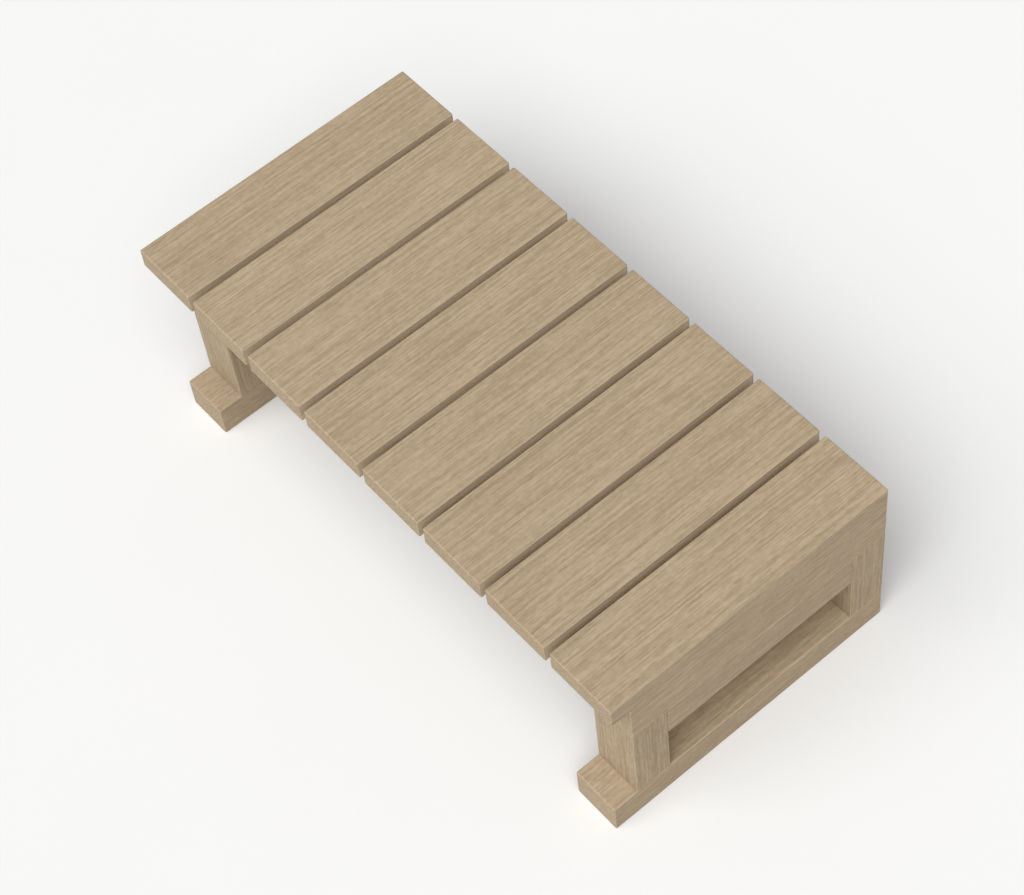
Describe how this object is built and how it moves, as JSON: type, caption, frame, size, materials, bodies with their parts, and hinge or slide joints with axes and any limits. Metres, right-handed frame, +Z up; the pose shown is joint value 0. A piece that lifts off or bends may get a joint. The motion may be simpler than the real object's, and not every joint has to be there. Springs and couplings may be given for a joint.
{
  "type": "spa step",
  "caption": "Low slatted timber step for getting into a hot tub: tread boards running front to back on two open end frames, tied by hidden bearers.",
  "frame": {"origin": "middle of the footprint, on the floor", "axes": "+X along the width, which runs along the tub, +Y towards the tub, +Z up"},
  "size_m": [0.752, 0.367, 0.236],
  "materials": {
    "tread_timber": "brushed pale grey-brown oak, fine straight grain, matt",
    "frame_timber": "brushed pale grey-brown oak, fine straight grain, matt",
    "bearer_timber": "sawn and sanded pale grey-brown oak, matt",
    "zinc_steel": "zinc-plated steel, dull",
    "dowel_beech": "plain turned beech"
  },
  "bodies": {
    "root": {"tread_slat_1": "tread_timber", "tread_slat_2": "tread_timber", "tread_slat_3": "tread_timber", "tread_slat_4": "tread_timber", "tread_slat_5": "tread_timber", "tread_slat_6": "tread_timber", "tread_slat_7": "tread_timber", "tread_slat_8": "tread_timber", "left_foot_rail": "frame_timber", "left_front_post": "frame_timber", "left_back_post": "frame_timber", "left_lower_rail": "frame_timber", "left_top_rail": "frame_timber", "right_foot_rail": "frame_timber", "right_front_post": "frame_timber", "right_back_post": "frame_timber", "right_lower_rail": "frame_timber", "right_top_rail": "frame_timber", "front_bearer": "bearer_timber", "back_bearer": "bearer_timber", "left_front_bracket": "zinc_steel", "left_back_bracket": "zinc_steel", "right_front_bracket": "zinc_steel", "right_back_bracket": "zinc_steel", "foot_screws": "zinc_steel", "slat_screws": "zinc_steel", "bracket_screws": "zinc_steel", "frame_dowels": "dowel_beech", "slat_dowels": "dowel_beech"}
  },
  "joints": []
}
